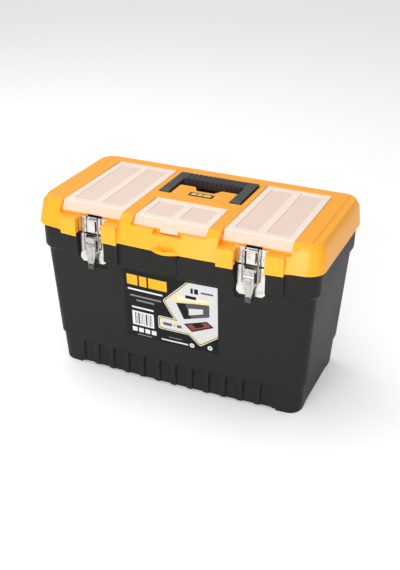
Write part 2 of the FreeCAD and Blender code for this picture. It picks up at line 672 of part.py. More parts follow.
# ---------------------------------------------------------------- organiser lids
def organiser_lid(label, low, high, rear, front, windows, tab):
    """A clear lid: plate and curled front lip in one profile, rounded hinge edge with stub pins."""
    top = "parting_height + lid_height - 0.5"
    under = top + " - organiser_sheet"
    edge = "(%s) - barrel_radius" % rear
    lip_back, lip_down = tab["run"], tab["drop"]
    points = [
        (edge, top), (front, top),
        ("(%s) - %s" % (front, lip_back), "%s - %s" % (top, lip_down)),
        ("(%s) - %s + 2.2" % (front, lip_back), "%s - %s - 1.6" % (top, lip_down)),
        ("(%s) + 0.4" % front, under), (edge, under),
    ]
    plate = prism(label + "_plate", "YZ", points, low, high)
    barrel_z = "parting_height + lid_height - 0.5 - barrel_radius"
    barrel = rod(label + "_barrel", "barrel_radius", low, high, edge, barrel_z)
    stubs = rod(label + "_stubs", "stub_radius", "(%s) - 3" % low, "(%s) + 3" % high, edge, barrel_z)
    middle = "((%s) + (%s)) / 2" % (low, high)
    snap_y = "(%s) - %s" % (front, lip_back)
    snap = box(label + "_snap", ("%s - %s" % (middle, tab["half"]), "%s + %s" % (middle, tab["half"])),
               (snap_y + " + 0.6", snap_y + " + 2.8"),
               ("%s - %s - %s" % (top, lip_down, tab["hang"]), "%s - %s" % (top, lip_down)))
    solid = fuse(label + "_solid", plate, barrel, stubs, snap)
    panes = []
    for index in range(windows):
        frame, rib = 11, 14
        share = "((%s) - (%s) - 2 * %s - %s) / 2" % (high, low, frame, rib)
        start = "(%s) + %s + %s * (%s + %s)" % (low, frame, index, share, rib)
        panes.append(box("%s_pane_%d" % (label, index), (start, "%s + %s" % (start, share)),
                         ("(%s) + 9" % front, "(%s) - 12" % rear), ("%s - 1.2" % top, "%s + 1" % top)))
    return keep(cut(label, solid, *panes), label)


SIDE_TAB = {"run": 13.0, "drop": 11.5, "half": 9, "hang": 2.6}
MID_TAB = {"run": 11.5, "drop": 9.5, "half": 21, "hang": 8.5}
side_front = "-latch_plane + 15.5"
mid_front = "-lid_depth / 2 - front_bow + 27"
for name, sign in (("organiser_lid_left", -1), ("organiser_lid_right", 1)):
    centre = "%d * side_lid_centre" % sign
    organiser_lid(name, centre + " - side_lid_width / 2", centre + " + side_lid_width / 2",
                  "side_lid_rear", side_front, 2, SIDE_TAB)
organiser_lid("organiser_lid_centre", "-mid_lid_width / 2", "mid_lid_width / 2",
              "mid_lid_rear", mid_front, 2, MID_TAB)


# ---------------------------------------------------------------- handle
def make_handle():
    """The folding U handle: arms, ribbed grip and stub pins."""
    low_z = "parting_height + lid_height + handle_proud - handle_thickness"
    high_z = "parting_height + lid_height + handle_proud"
    axis_z = "parting_height + lid_height + handle_proud - handle_thickness / 2"
    outline_points = [
        ("-handle_half_width", 0), ("-handle_half_width", "handle_rear"),
        ("handle_half_width", "handle_rear"), ("handle_half_width", 0),
        ("handle_half_width - handle_arm", 0), ("handle_half_width - handle_arm", "handle_rear - grip_depth - 4"),
        ("handle_half_width - handle_arm - 6", "handle_rear - grip_depth"),
        ("-handle_half_width + handle_arm + 6", "handle_rear - grip_depth"),
        ("-handle_half_width + handle_arm", "handle_rear - grip_depth - 4"), ("-handle_half_width + handle_arm", 0),
    ]
    bow = prism("handle_bow", "XY", outline_points, low_z, high_z)
    pieces = [bow]
    for index, sign in enumerate((-1, 1)):
        inner = "%d * handle_half_width" % sign
        low = inner if sign < 0 else inner + " - handle_arm"
        high = inner + " + handle_arm" if sign < 0 else inner
        pieces.append(rod("handle_eye_%d" % index, "handle_thickness / 2", low, high, 0, axis_z))
    pieces.append(rod("handle_stubs_left", "handle_stub_radius", "-handle_half_width - 6",
                      "-handle_half_width + 2", 0, axis_z))
    pieces.append(rod("handle_stubs_right", "handle_stub_radius", "handle_half_width - 2",
                      "handle_half_width + 6", 0, axis_z))
    solid = fuse("handle_solid", *pieces)
    grooves = []
    count, width, depth = 13, 1.6, 1.2
    for index in range(count):
        x = "(%d) * (handle_half_width - handle_arm) * 2 / %d" % (index - count // 2, count)
        grooves.append(box("handle_groove_%d" % index, ("%s - %s" % (x, width / 2), "%s + %s" % (x, width / 2)),
                           ("handle_rear - grip_depth - 5", "handle_rear - 3"),
                           ("%s - %s" % (high_z, depth), "%s + 1" % high_z)))
    groove_set = fuse("handle_grooves", *grooves)
    return keep(cut("handle", solid, groove_set), "handle")


make_handle()


# ---------------------------------------------------------------- draw latches
def make_latch(side, sign):
    """One draw latch: catch plate, base plate, lever, bail, lever pin and rivets."""
    x = "%d * latch_offset" % sign
    face = "-latch_plane"

    def off(distance):
        return "%s - (%s)" % (face, distance)

    def across(half):
        return ("%s - (%s)" % (x, half), "%s + (%s)" % (x, half))

    def tag(piece):
        return "%s_%s" % (piece, side)

    half = "plate_width / 2"
    flare = 6
    catch_points = [
        ("%s - %s" % (x, half), "catch_low"), ("%s + %s" % (x, half), "catch_low"),
        ("%s + %s" % (x, half), "shelf_height + 0.5"), ("%s + %s + %s" % (x, half, flare), "catch_high"),
        ("%s - %s - %s" % (x, half, flare), "catch_high"), ("%s - %s" % (x, half), "shelf_height + 0.5"),
    ]
    plate = prism(tag("catch_sheet"), "XZ", catch_points, off("sheet_gauge"), face)
    foot = box(tag("catch_foot"), across("tongue_width / 2"), (off("tongue_reach"), off("sheet_gauge / 2")),
               ("catch_low", "catch_low + sheet_gauge"))
    tongue = box(tag("catch_tongue"), across("tongue_width / 2"),
                 (off("tongue_reach"), off("tongue_reach - sheet_gauge")), ("catch_low", "tongue_top"))
    catch_solid = fuse(tag("catch_solid"), plate, foot, tongue)
    holes = [stud(tag("catch_hole_%d" % i), rivet_radius, "%s + %s" % (x, s * rivet_spread), off(5),
                  "%s + 5" % face, rivet_heights["catch"]) for i, s in enumerate((-1, 1))]
    keep(cut(tag("catch"), catch_solid, *holes), "catch_plate_" + side)

    base_points = [
        ("%s - %s" % (x, half), "base_plate_high"), ("%s - %s - 2" % (x, half), "base_plate_low + 5"),
        ("%s - %s + 3" % (x, half), "base_plate_low"), ("%s + %s - 3" % (x, half), "base_plate_low"),
        ("%s + %s + 2" % (x, half), "base_plate_low + 5"), ("%s + %s" % (x, half), "base_plate_high"),
    ]
    plate = prism(tag("base_sheet"), "XZ", base_points, off("sheet_gauge"), face)
    ears = []
    for i, s in enumerate((-1, 1)):
        inner = "%s + %d * (lever_width / 2 + 0.4)" % (x, s)
        outer = "%s + %d * (lever_width / 2 + 0.4 + sheet_gauge)" % (x, s)
        low, high = (inner, outer) if s > 0 else (outer, inner)
        ears.append(box(tag("ear_%d" % i), (low, high), (off("lever_pivot_reach"), off("sheet_gauge / 2")),
                        ("lever_pivot_height - 3.5", "lever_pivot_height + 3.5")))
        ears.append(rod(tag("ear_eye_%d" % i), 3.5, low, high, off("lever_pivot_reach"), "lever_pivot_height"))
    base_solid = fuse(tag("base_solid"), plate, *ears)
    pin_hole = rod(tag("base_pin_hole"), "lever_pin_radius", *across("lever_width"),
                   off("lever_pivot_reach"), "lever_pivot_height")
    holes = [stud(tag("base_hole_%d" % i), rivet_radius, "%s + %s" % (x, s * rivet_spread), off(5),
                  "%s + 5" % face, rivet_heights["base"]) for i, s in enumerate((-1, 1))]
    keep(cut(tag("latch_base"), base_solid, pin_hole, *holes), "latch_base_plate_" + side)

    pin = rod(tag("lever_pin"), "lever_pin_radius", *across("lever_width / 2 + 0.4 + sheet_gauge + 0.5"),
              off("lever_pivot_reach"), "lever_pivot_height")
    keep(pin, "lever_pin_" + side)

    for owner in ("catch", "base"):
        rivets = []
        for i, s in enumerate((-1, 1)):
            place = "%s + %s" % (x, s * rivet_spread)
            height = rivet_heights[owner]
            inside = "lid_wall" if owner == "catch" else "tub_wall"
            shank = stud(tag("%s_shank_%d" % (owner, i)), rivet_radius, place, off("sheet_gauge"),
                         "%s + %s" % (face, inside), height)
            head = stud(tag("%s_head_%d" % (owner, i)), 3.2, place, off("sheet_gauge + 1"),
                        off("sheet_gauge"), height)
            clench = stud(tag("%s_clench_%d" % (owner, i)), 3.2, place, "%s + %s" % (face, inside),
                          "%s + %s + 1" % (face, inside), height)
            rivets.append(fuse(tag("%s_rivet_%d" % (owner, i)), shank, head, clench))
        group = doc.addObject("Part::Compound", tag("%s_rivet_pair" % owner))
        group.Links = rivets
        keep(group, "%s_rivets_%s" % (owner, side))

    cheek = "lever_width / 2"
    front_points = [
        ("%s - %s" % (x, cheek), "lever_pivot_height + 1"), ("%s - %s" % (x, cheek), "bail_pivot_height - 6"),
        ("%s - 5.2" % x, "lever_tip + 8"), ("%s - 4.6" % x, "lever_tip"), ("%s + 4.6" % x, "lever_tip"),
        ("%s + 5.2" % x, "lever_tip + 8"), ("%s + %s" % (x, cheek), "bail_pivot_height - 6"),
        ("%s + %s" % (x, cheek), "lever_pivot_height + 1"),
    ]
    front_reach = "lever_pivot_reach + 3.6"
    skin = prism(tag("lever_skin"), "XZ", front_points, off(front_reach), off("%s - sheet_gauge" % front_reach))
    cheeks = []
    for i, s in enumerate((-1, 1)):
        outer = "%s + %d * lever_width / 2" % (x, s)
        inner = "%s + %d * (lever_width / 2 - sheet_gauge)" % (x, s)
        low, high = (inner, outer) if s > 0 else (outer, inner)
        cheeks.append(box(tag("cheek_%d" % i), (low, high), (off(front_reach), off("2.6")),
                          ("bail_pivot_height - 6", "lever_pivot_height")))
        cheeks.append(rod(tag("cheek_eye_%d" % i), 4.2, low, high, off("lever_pivot_reach"), "lever_pivot_height"))
    roll = box(tag("lever_roll"), across(4.6), (off("%s + 0.8" % front_reach), off("%s - 2.6" % front_reach)),
               ("lever_tip - 3", "lever_tip + 2"))
    lever_solid = fuse(tag("lever_solid"), skin, roll, *cheeks)
    pivot_bore = rod(tag("lever_bore"), "lever_pin_radius + running_gap", *across("lever_width"),
                     off("lever_pivot_reach"), "lever_pivot_height")
    bail_bore = rod(tag("bail_bore"), "bail_wire_radius + running_gap", *across("lever_width"),
                    off("bail_pivot_reach"), "bail_pivot_height")
    keep(cut(tag("lever"), lever_solid, pivot_bore, bail_bore), "latch_lever_" + side)
    return keep(make_bail(side, sign), "latch_bail_" + side)


def make_bail(side, sign):
    """The wire bail: a top bar in front of the catch tongue, two legs, ends turned into the lever."""
    radius = S["bail_wire_radius"]
    centre = sign * S["latch_offset"]
    half = S["bail_half_width"]
    bar_y = latch_y - S["tongue_reach"] - radius - 0.45
    bar_z = S["tongue_top"] + radius + 0.5
    low = Vector(0, latch_y - S["bail_pivot_reach"], S["bail_pivot_height"])
    top = Vector(0, bar_y, bar_z)
    end_x = S["lever_width"] / 2 - 2.2
    bend = 4.0
    stops = [Vector(-end_x, low.y, low.z), Vector(-half, low.y, low.z), Vector(-half, top.y, top.z),
             Vector(half, top.y, top.z), Vector(half, low.y, low.z), Vector(end_x, low.y, low.z)]
    radii = [1.6, bend, bend, 1.6]
    edges = []
    start = stops[0]
    for index in range(1, len(stops) - 1):
        into = (stops[index] - stops[index - 1]).normalize()
        away = (stops[index + 1] - stops[index]).normalize()
        turn = into.getAngle(away)
        run = radii[index - 1] * math.tan(turn / 2)
        first = stops[index] - into * run
        last = stops[index] + away * run
        middle = stops[index] + (away - into).normalize() * radii[index - 1] * (1 / math.cos(turn / 2) - 1)
        edges.append(Part.LineSegment(start, first).toShape())
        edges.append(Part.Arc(first, middle, last).toShape())
        start = last
    edges.append(Part.LineSegment(start, stops[-1]).toShape())
    path = Part.Wire(edges)
    ring = Part.Wire(Part.makeCircle(radius, stops[0], Vector(1, 0, 0)))
    wire = path.makePipeShell([ring], True, True)
    expected = math.pi * radius ** 2 * path.Length
    if abs(wire.Volume - expected) > 0.02 * expected:
        raise RuntimeError("bail wire has the wrong volume")
    wire.translate(Vector(centre, 0, 0))
    bail = doc.addObject("Part::Feature", "bail_" + side)
    bail.Shape = wire
    return bail


for side_name, side_sign in (("left", -1), ("right", 1)):
    make_latch(side_name, side_sign)


# ---------------------------------------------------------------- hinge pins, label and badge
for side_name, side_sign in (("left", -1), ("right", 1)):
    reach = "knuckle_width / 2 + 0.3 + ear_width + 1"
    middle = "%d * hinge_offset" % side_sign
    keep(rod("hinge_pin_" + side_name, "hinge_pin_radius", "%s - (%s)" % (middle, reach),
             "%s + (%s)" % (middle, reach), "hinge_depth", "hinge_height"), "hinge_pin_" + side_name)


def make_label():
    """The printed label, a film that follows the bowed, tapering tub front."""
    film = S["label_film"]
    skin = loft(grown(body_foot, film), grown(body_top, film)).cut(loft(body_foot, body_top))
    window = block((-80, 83), (-300, -60), (90, ledge_low - 2))
    return skin.common(window)


shell("front_label", make_label())
badge_z = "parting_height + lid_height"
keep(box("badge_plate", (-21, 21), (-6.5, 7.5), (badge_z, badge_z + " + 0.8")), "badge_plate")


# ---------------------------------------------------------------- checks and export
doc.recompute()
for obj in doc.Objects:
    if "Invalid" in obj.State or "Error" in obj.State:
        raise RuntimeError("%s failed: %s" % (obj.Label, obj.State))
for node in nodes:
    if node.Shape.isNull() or not node.Shape.isValid():
        raise RuntimeError("%s has no valid shape" % node.Label)
os.makedirs("parts", exist_ok=True)
for node in nodes:
    node.Shape.exportStep("parts/%s.step" % node.Label)
    solids = len(node.Shape.Solids)
    print("%-24s %2d solids %10.1f mm3" % (node.Label, solids, node.Shape.Volume))
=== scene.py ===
"""Toolbox with a lift-out tray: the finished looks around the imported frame.

Metres, +X along the box, +Y to the lid hinges, +Z up, standing on z = 0.
"""
import json
import math

import bpy
from mathutils import Matrix, Vector


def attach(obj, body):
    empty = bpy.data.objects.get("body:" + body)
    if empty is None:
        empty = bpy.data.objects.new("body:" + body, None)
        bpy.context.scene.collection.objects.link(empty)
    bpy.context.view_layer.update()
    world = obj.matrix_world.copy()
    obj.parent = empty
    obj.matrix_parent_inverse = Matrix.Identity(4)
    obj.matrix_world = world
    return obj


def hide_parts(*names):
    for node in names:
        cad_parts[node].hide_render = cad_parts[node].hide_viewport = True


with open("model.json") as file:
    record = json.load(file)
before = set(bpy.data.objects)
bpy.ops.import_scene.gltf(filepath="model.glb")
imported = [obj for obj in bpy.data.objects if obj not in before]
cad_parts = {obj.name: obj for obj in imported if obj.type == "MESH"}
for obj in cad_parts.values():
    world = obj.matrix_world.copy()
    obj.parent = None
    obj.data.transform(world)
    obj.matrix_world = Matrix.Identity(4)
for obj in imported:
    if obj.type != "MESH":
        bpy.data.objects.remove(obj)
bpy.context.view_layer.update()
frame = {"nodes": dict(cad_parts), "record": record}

MM = 0.001
LATCH_OFFSET = 135
LID_TOP = 305.5
CAD = frame["nodes"]
BODY_OF = {node: body for body, group in frame["record"]["behaviour"]["bodies"].items() for node in group}
SLOT_OF = {entry["node"]: entry["material_slot"] for entry in frame["record"]["subparts"]}

# ---------------------------------------------------------------- small helpers
def select_only(piece):
    """Make one object active and selected, and nothing else."""
    bpy.ops.object.select_all(action="DESELECT")
    bpy.context.view_layer.objects.active = piece
    piece.select_set(True)


def in_edit_mode(piece, *steps):
    """Run edit-mode operators on everything in a mesh."""
    select_only(piece)
    bpy.ops.object.mode_set(mode="EDIT")
    bpy.ops.mesh.select_all(action="SELECT")
    for step in steps:
        step()
    bpy.ops.object.mode_set(mode="OBJECT")


def apply_modifiers(piece):
    select_only(piece)
    for modifier in list(piece.modifiers):
        bpy.ops.object.modifier_apply(modifier=modifier.name)


def smooth(piece, degrees=35):
    """Shade rounded edges smooth and keep the large faces between them flat."""
    select_only(piece)
    bpy.ops.object.shade_smooth_by_angle(angle=math.radians(degrees))
    weights = piece.modifiers.new("flat_faces", "WEIGHTED_NORMAL")
    weights.keep_sharp = True
    apply_modifiers(piece)


def round_edges(piece, width, segments=2, degrees=32, clamp=False):
    """Round a piece's sharp edges."""
    bevel = piece.modifiers.new("rounded", "BEVEL")
    bevel.width = width
    bevel.segments = segments
    bevel.limit_method = "ANGLE"
    bevel.angle_limit = math.radians(degrees)
    bevel.use_clamp_overlap = clamp
    bevel.miter_outer = "MITER_ARC"
    apply_modifiers(piece)


def copied(node, name, details=None):
    """A merged copy of a CAD node's mesh with its details cut.

    Flat faces are made whole, but not where a wide face is pierced by openings.
    """
    piece = bpy.data.objects.new(name, CAD[node].data.copy())
    bpy.context.scene.collection.objects.link(piece)
    in_edit_mode(piece, lambda: bpy.ops.mesh.remove_doubles(threshold=0.01 * MM))
    if details:
        details(piece)
    if node not in ("lid_shell", "tub_shell", "tray"):
        in_edit_mode(piece, lambda: bpy.ops.mesh.dissolve_limited(angle_limit=math.radians(0.6)))
    return piece


def brick(name, x, y, z):
    """A box between (low, high) pairs in millimetres."""
    bpy.ops.object.select_all(action="DESELECT")
    middle = [MM * (low + high) / 2 for low, high in (x, y, z)]
    bpy.ops.mesh.primitive_cube_add(size=1, location=middle)
    piece = bpy.context.object
    piece.name = name
    piece.scale = [MM * (high - low) for low, high in (x, y, z)]
    bpy.ops.object.transform_apply(location=True, rotation=True, scale=True)
    return piece


def combine(piece, other, operation):
    """Cut another solid from a piece, or join it on."""
    step = piece.modifiers.new("combined", "BOOLEAN")
    step.operation = operation
    step.solver = "EXACT"
    step.object = other
    apply_modifiers(piece)
    bpy.data.objects.remove(other)


def finish_piece(piece, node, paint):
    """Give a piece its material and let it stand for a CAD node on that node's body."""
    piece.data.materials.clear()
    piece.data.materials.append(paint)
    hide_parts(node)
    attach(piece, BODY_OF[node])


# ---------------------------------------------------------------- shared effects
def new_group(name, inputs, outputs):
    """An empty shader group: inputs are (name, default value or colour), outputs (name, socket type)."""
    group = bpy.data.node_groups.new(name, "ShaderNodeTree")
    for label, default in inputs:
        kind = "NodeSocketColor" if isinstance(default, tuple) else "NodeSocketFloat"
        group.interface.new_socket(label, in_out="INPUT", socket_type=kind).default_value = default
    for label, kind in outputs:
        group.interface.new_socket(label, in_out="OUTPUT", socket_type=kind)
    return group, group.nodes.new("NodeGroupInput"), group.nodes.new("NodeGroupOutput")


def wire(tree, source, target):
    tree.links.new(source, target)


class Sums:
    """Short ways to write arithmetic in a shader tree; every argument is a socket or a number."""

    def __init__(self, tree):
        self.tree = tree

    def maths(self, operation, *values):
        node = self.tree.nodes.new("ShaderNodeMath")
        node.operation = operation
        for socket, value in zip(node.inputs, values):
            if isinstance(value, (int, float)):
                socket.default_value = value
            else:
                wire(self.tree, value, socket)
        return node.outputs[0]

    def axes(self):
        """The piece's own X, Y and Z, in millimetres."""
        place = self.tree.nodes.new("ShaderNodeTexCoord")
        split = self.tree.nodes.new("ShaderNodeSeparateXYZ")
        wire(self.tree, place.outputs["Object"], split.inputs["Vector"])
        return [self.maths("MULTIPLY", split.outputs[axis], 1000.0) for axis in "XYZ"]

    def both(self, *values):
        """The smallest of several values: the overlap of their shapes."""
        total = values[0]
        for value in values[1:]:
            total = self.maths("MINIMUM", total, value)
        return total

    def slope(self, u, v, across, up, offset):
        """Distance inside a straight edge: across * u + up * v + offset."""
        rise = self.maths("MULTIPLY", v, up)
        return self.maths("ADD", self.maths("MULTIPLY_ADD", u, across, offset), rise)

    def patch(self, u, v, left, right, low, high):
        """Distance inside an upright rectangle."""
        return self.both(self.maths("SUBTRACT", u, left), self.maths("SUBTRACT", right, u),
                         self.maths("SUBTRACT", v, low), self.maths("SUBTRACT", high, v))

    def blob(self, u, v, middle, height, radius):
        """Distance inside a circle."""
        across = self.maths("SUBTRACT", u, middle)
        up = self.maths("SUBTRACT", v, height)
        squares = self.maths("MULTIPLY_ADD", across, across, self.maths("MULTIPLY", up, up))
        return self.maths("SUBTRACT", radius, self.maths("SQRT", squares))

    def inside(self, distance, edge=0.0):
        return self.maths("GREATER_THAN", distance, edge)

    def painted(self, below, mask, colour):
        """A colour laid over another where the mask is one."""
        node = self.tree.nodes.new("ShaderNodeMix")
        node.data_type = "RGBA"
        wire(self.tree, mask, node.inputs["Factor"])
        wire(self.tree, below, node.inputs["A"])
        node.inputs["B"].default_value = (*colour, 1.0)
        return node.outputs["Result"]


def moulded_skin():
    """Moulded plastic: fine grain, a slow drift of shade, and a little spread in gloss."""
    tree, given, result = new_group(
        "moulded_skin",
        [("Colour", (0.5, 0.5, 0.5, 1.0)), ("Shade Drift", 0.06), ("Gloss Low", 0.35), ("Gloss High", 0.45),
         ("Grain Scale", 1800.0), ("Grain Depth", 0.1)],
        [("Colour", "NodeSocketColor"), ("Roughness", "NodeSocketFloat"), ("Normal", "NodeSocketVector")],
    )
    place = tree.nodes.new("ShaderNodeTexCoord")
    drift = tree.nodes.new("ShaderNodeTexNoise")
    drift.inputs["Scale"].default_value = 9.0
    drift.inputs["Detail"].default_value = 5.0
    wire(tree, place.outputs["Object"], drift.inputs["Vector"])
    darker = tree.nodes.new("ShaderNodeMath")
    darker.operation = "MULTIPLY"
    wire(tree, drift.outputs["Fac"], darker.inputs[0])
    wire(tree, given.outputs["Shade Drift"], darker.inputs[1])
    shade = tree.nodes.new("ShaderNodeMix")
    shade.data_type = "RGBA"
    shade.inputs["B"].default_value = (0.0, 0.0, 0.0, 1.0)
    wire(tree, darker.outputs[0], shade.inputs["Factor"])
    wire(tree, given.outputs["Colour"], shade.inputs["A"])
    wire(tree, shade.outputs["Result"], result.inputs["Colour"])
    grain = tree.nodes.new("ShaderNodeTexNoise")
    grain.inputs["Detail"].default_value = 3.0
    wire(tree, place.outputs["Object"], grain.inputs["Vector"])
    wire(tree, given.outputs["Grain Scale"], grain.inputs["Scale"])
    gloss = tree.nodes.new("ShaderNodeMapRange")
    wire(tree, drift.outputs["Fac"], gloss.inputs["Value"])
    wire(tree, given.outputs["Gloss Low"], gloss.inputs["To Min"])
    wire(tree, given.outputs["Gloss High"], gloss.inputs["To Max"])
    wire(tree, gloss.outputs["Result"], result.inputs["Roughness"])
    bump = tree.nodes.new("ShaderNodeBump")
    bump.inputs["Distance"].default_value = 0.0002
    wire(tree, given.outputs["Grain Depth"], bump.inputs["Strength"])
    wire(tree, grain.outputs["Fac"], bump.inputs["Height"])
    wire(tree, bump.outputs["Normal"], result.inputs["Normal"])
    return tree


# Painted shade on the latch plates, beside each bail wire: dark bands in the colour where the gaps there
# lie in shadow.
SHADE_BAND_OFFSET = 9.7
SHADE_BAND_HALF_WIDTH = 1.3
SHADE_BAND_FRONT = -121.5
SHADE_BAND_FOOT = 233.5


def worked_sheet():
    """Plated sheet and wire: faint long scratches, cloudy plating, and painted shade as dark bands beside
    the bail wires.
    """
    tree, given, result = new_group(
        "worked_sheet",
        [("Colour", (0.8, 0.8, 0.8, 1.0)), ("Stain", (0.5, 0.45, 0.4, 1.0)), ("Gloss Low", 0.12),
         ("Gloss High", 0.3), ("Scratch Depth", 0.05), ("Painted Gap Shade", 0.0)],
        [("Colour", "NodeSocketColor"), ("Roughness", "NodeSocketFloat"), ("Normal", "NodeSocketVector")],
    )
    place = tree.nodes.new("ShaderNodeTexCoord")
    stretch = tree.nodes.new("ShaderNodeMapping")
    stretch.inputs["Scale"].default_value = (900.0, 900.0, 60.0)
    wire(tree, place.outputs["Object"], stretch.inputs["Vector"])
    scratch = tree.nodes.new("ShaderNodeTexNoise")
    scratch.inputs["Scale"].default_value = 1.0
    scratch.inputs["Detail"].default_value = 4.0
    wire(tree, stretch.outputs["Vector"], scratch.inputs["Vector"])
    cloud = tree.nodes.new("ShaderNodeTexNoise")
    cloud.inputs["Scale"].default_value = 90.0
    cloud.inputs["Detail"].default_value = 6.0
    wire(tree, place.outputs["Object"], cloud.inputs["Vector"])
    sparse = tree.nodes.new("ShaderNodeMapRange")
    sparse.inputs["From Min"].default_value = 0.5
    sparse.inputs["From Max"].default_value = 0.85
    wire(tree, cloud.outputs["Fac"], sparse.inputs["Value"])
    tint = tree.nodes.new("ShaderNodeMix")
    tint.data_type = "RGBA"
    wire(tree, sparse.outputs["Result"], tint.inputs["Factor"])
    wire(tree, given.outputs["Colour"], tint.inputs["A"])
    wire(tree, given.outputs["Stain"], tint.inputs["B"])
    sums = Sums(tree)
    x, y, z = sums.axes()
    # Painted shade: a dark band on the plates beside each bail wire, where the gap falls into shadow.
    aside = sums.maths("ABSOLUTE", sums.maths("SUBTRACT", sums.maths("ABSOLUTE", x), LATCH_OFFSET))
    off_line = sums.maths("ABSOLUTE", sums.maths("SUBTRACT", aside, SHADE_BAND_OFFSET))
    groove = sums.both(sums.maths("LESS_THAN", off_line, SHADE_BAND_HALF_WIDTH),
                       sums.maths("GREATER_THAN", y, SHADE_BAND_FRONT),
                       sums.maths("GREATER_THAN", z, SHADE_BAND_FOOT))
    dark = sums.maths("MULTIPLY", groove, given.outputs["Painted Gap Shade"])
    colour = sums.painted(tint.outputs["Result"], dark, (0.03, 0.018, 0.012))
    wire(tree, colour, result.inputs["Colour"])
    gloss = tree.nodes.new("ShaderNodeMapRange")
    wire(tree, scratch.outputs["Fac"], gloss.inputs["Value"])
    wire(tree, given.outputs["Gloss Low"], gloss.inputs["To Min"])
    wire(tree, given.outputs["Gloss High"], gloss.inputs["To Max"])
    wire(tree, gloss.outputs["Result"], result.inputs["Roughness"])
    bump = tree.nodes.new("ShaderNodeBump")
    bump.inputs["Distance"].default_value = 0.0001
    wire(tree, given.outputs["Scratch Depth"], bump.inputs["Strength"])
    wire(tree, scratch.outputs["Fac"], bump.inputs["Height"])
    wire(tree, bump.outputs["Normal"], result.inputs["Normal"])
    return tree


INK = (0.006, 0.006, 0.006)
PALE_GREY = (0.57, 0.57, 0.575)
DIM_GREY = (0.20, 0.20, 0.20)
PALE_YELLOW = (0.76, 0.60, 0.24)
HEADING_YELLOW = (0.76, 0.41, 0.02)
PAPER = (0.70, 0.70, 0.70)
RED_BROWN = (0.24, 0.05, 0.04)
SLATE = (0.075, 0.07, 0.085)

# The label in millimetres, and its print as (colour, left, right, low, high) on a grid of 160 by 120.
LABEL_LEFT, LABEL_WIDTH = -80, 163
LABEL_FOOT, LABEL_HEIGHT = 90, 124
GRID_WIDTH, GRID_HEIGHT = 160, 120
LEFT_PRINT = [
    (HEADING_YELLOW, 6, 25, 95, 113), (HEADING_YELLOW, 28, 41, 95, 113), (HEADING_YELLOW, 44, 76, 95, 113),
    (PAPER, 7, 68, 85.5, 88.5), (DIM_GREY, 10, 65, 74, 77), (DIM_GREY, 21, 53, 66.5, 69.5),
    (PAPER, 12, 51, 53, 56), (PAPER, 12, 50.5, 21.5, 47.5),
    (PAPER, 11, 19.5, 9, 17), (PAPER, 22.5, 31, 9, 17), (PAPER, 34, 42.5, 9, 17), (PAPER, 45.5, 54, 9, 17),
    (DIM_GREY, 20, 46, 3, 5), (PAPER, 63, 109, 4.8, 7.2), (DIM_GREY, 76, 99, 12, 13.4),
]
BARCODE = [
    (17, 18.6), (20, 20.8), (22.5, 25), (27, 27.8), (29.6, 30.6), (32.5, 33.2), (36, 38.6), (41, 41.8),
    (43.6, 45), (46.4, 47.2),
]
RIGHT_PRINT = [
    (INK, 116, 120, 102, 111), (INK, 122, 128.5, 102, 111), (SLATE, 133, 153, 104.5, 107.5),
    (SLATE, 67, 82, 34, 39), (SLATE, 85, 88, 36, 37.4), (SLATE, 91, 99, 34, 39),
]
# Straight edges (across, up, offset) that enclose each larger shape; inside is positive.
FIELD_EDGES = [(0.700, -0.714, 9.09), (0.852, 0.523, -99.2), (0.673, 0.739, -93.3), (-0.593, 0.805, 70.7)]
PICTURES = [
    (SLATE, [(0.910, 0.415, -116.0), (-0.286, 0.958, -20.8), (-1.0, 0.0, 146.5), (0.141, -0.990, 66.4)]),
    (INK, [(0.910, 0.415, -116.0), (-0.286, 0.958, -20.8), (0.141, -0.990, 66.4), (-0.93, -0.37, 129.0)]),
    (PALE_GREY, [(1.0, 0.0, -112.0), (-1.0, 0.0, 136.0), (-0.286, 0.958, -27.0), (0.141, -0.990, 57.5)]),
    (PALE_YELLOW, [(-0.101, 0.995, -71.7), (0.33, -0.944, 56.5), (0.0, -1.0, 95.0), (-1.0, 0.0, 148.0),
                   (1.0, 0.0, -87.0)]),
    (PAPER, [(-0.101, 0.995, -75.7), (0.33, -0.944, 54.5), (0.0, -1.0, 93.5), (-1.0, 0.0, 143.0),
             (1.0, 0.0, -94.0)]),
    (INK, [(0.0, 1.0, -91.5), (0.0, -1.0, 97.0), (1.0, 0.0, -107.0), (-1.0, 0.0, 125.0)]),
    (INK, [(0.309, -0.951, 10.05), (-0.607, -0.793, 131.2), (-0.396, 0.918, 16.8), (0.659, 0.753, -100.9)]),
    (RED_BROWN, [(0.309, -0.951, 7.9), (-0.607, -0.793, 128.8), (-0.396, 0.918, 14.4),
                 (0.659, 0.753, -103.4)]),
    (INK, [(0.309, -0.951, 7.9), (-0.607, -0.793, 121.0), (-0.396, 0.918, 11.9), (0.659, 0.753, -112.0)]),
]


